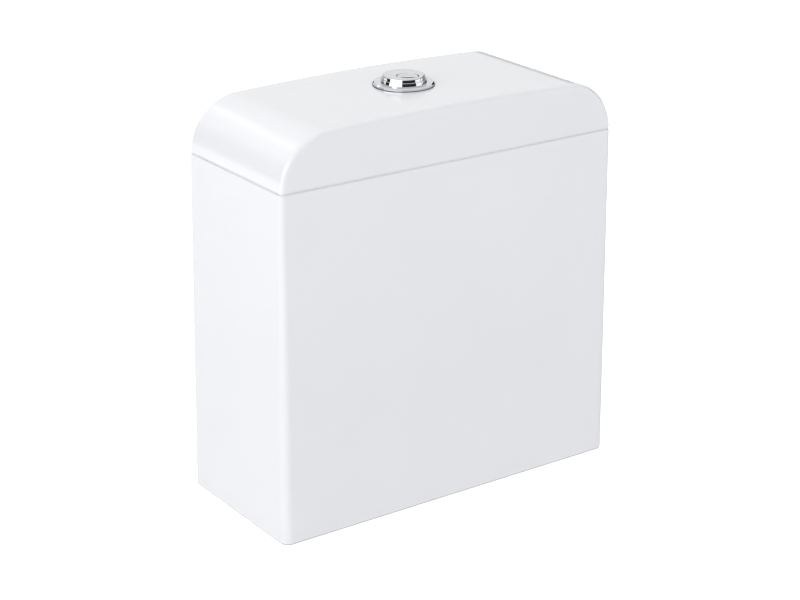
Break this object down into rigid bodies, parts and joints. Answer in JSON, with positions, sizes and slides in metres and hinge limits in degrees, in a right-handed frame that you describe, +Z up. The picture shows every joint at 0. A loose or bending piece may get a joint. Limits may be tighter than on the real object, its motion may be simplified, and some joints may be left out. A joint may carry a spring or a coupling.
{
  "type": "toilet cistern",
  "caption": "Close-coupled ceramic toilet cistern with a lift-off lid, a two-part push button, a lever-lifted flush valve and a bottom-entry float valve.",
  "frame": {"origin": "on the flush outlet's axis, in the plane of the tank's foot rim", "axes": "+Z up, -Y towards the front face, +X to the right as seen from the front"},
  "size_m": [0.376, 0.165, 0.4341],
  "materials": {
    "ceramic": "gloss",
    "chrome": "polished",
    "white_plastic": "satin",
    "grey_plastic": "satin",
    "blue_plastic": "satin",
    "black_rubber": "matte",
    "black_foam": "matte",
    "red_silicone": "satin",
    "steel": "satin"
  },
  "bodies": {
    "cistern": {"tank": "ceramic", "valve_base": "white_plastic", "valve_inner_washer": "black_rubber", "valve_backnut": "white_plastic", "coupling_gasket": "black_foam", "coupling_bolts": "steel", "bolt_seal_washers": "black_rubber", "bolt_steel_washers": "steel", "bolt_locknuts": "steel", "valve_tower": "white_plastic", "lever_pins": "grey_plastic", "fill_shank": "white_plastic", "fill_shank_washer": "black_rubber", "fill_backnut": "white_plastic", "inlet_filter": "grey_plastic", "fill_head": "white_plastic", "diaphragm": "black_rubber", "fill_cap": "blue_plastic", "drop_tube": "white_plastic", "arm_pin": "grey_plastic", "pin_clips": "steel", "cage_posts": "white_plastic", "cage_ring": "white_plastic"},
    "lid": {"lid": "ceramic", "button_bezel": "chrome", "button_washer": "black_rubber", "button_backnut": "white_plastic", "button_guide": "white_plastic"},
    "full_button": {"full_flush_button": "chrome", "full_flush_rod": "white_plastic", "full_button_spring": "steel"},
    "half_button": {"half_flush_button": "chrome", "half_flush_rod": "white_plastic", "half_button_spring": "steel"},
    "full_lever": {"full_flush_lever": "grey_plastic"},
    "half_lever": {"half_flush_lever": "grey_plastic"},
    "half_carriage": {"half_lifter": "grey_plastic", "half_flush_float": "blue_plastic", "float_clip": "grey_plastic"},
    "flush_tube": {"overflow_tube": "white_plastic", "flush_seal": "red_silicone", "seal_retainer": "grey_plastic", "flush_float": "white_plastic", "lift_yoke": "grey_plastic"},
    "inlet_float": {"float_box": "white_plastic", "float_rod": "grey_plastic", "rod_nuts": "grey_plastic"},
    "inlet_arm": {"float_arm": "grey_plastic", "pilot_pad": "black_rubber"}
  },
  "joints": [
    {"name": "lid_lift", "type": "slide", "parent": "cistern", "child": "lid", "axis": [0, 0, 1], "range_m": [0, 0.12]},
    {"name": "full_press", "type": "slide", "parent": "lid", "child": "full_button", "axis": [0, 0, -1], "range_m": [0, 0.006], "stiffness_N_per_m": 400, "springref_m": -0.005, "deforming": ["full_button_spring"]},
    {"name": "half_press", "type": "slide", "parent": "lid", "child": "half_button", "axis": [0, 0, -1], "range_m": [0, 0.006], "stiffness_N_per_m": 400, "springref_m": -0.005, "deforming": ["half_button_spring"]},
    {"name": "full_lever_tilt", "type": "hinge", "parent": "cistern", "child": "full_lever", "pos_m": [0.02, 0, 0.28], "axis": [0, -1, 0], "range_deg": [0, 17.3]},
    {"name": "half_lever_tilt", "type": "hinge", "parent": "cistern", "child": "half_lever", "pos_m": [-0.02, 0, 0.28], "axis": [0, 1, 0], "range_deg": [0, 17.3]},
    {"name": "half_lift", "type": "slide", "parent": "cistern", "child": "half_carriage", "axis": [0, 0, 1], "range_m": [0, 0.009]},
    {"name": "tube_lift", "type": "slide", "parent": "half_carriage", "child": "flush_tube", "axis": [0, 0, 1], "range_m": [0, 0.009]},
    {"name": "float_slide", "type": "slide", "parent": "cistern", "child": "inlet_float", "axis": [0, 0, 1], "range_m": [0, 0.01]},
    {"name": "float_arm_tilt", "type": "hinge", "parent": "cistern", "child": "inlet_arm", "pos_m": [-0.13, -0.013, 0.208], "axis": [1, 0, 0], "range_deg": [-18, 0]}
  ],
  "couplings": [
    {"joint": "full_lever_tilt", "follows": "full_press", "rad_per_m": 50},
    {"joint": "half_lever_tilt", "follows": "half_press", "rad_per_m": 50},
    {"joint": "half_lift", "follows": "half_press", "ratio": 1.5},
    {"joint": "tube_lift", "follows": "full_press", "ratio": 1.5},
    {"joint": "float_arm_tilt", "follows": "float_slide", "rad_per_m": -31.25}
  ]
}
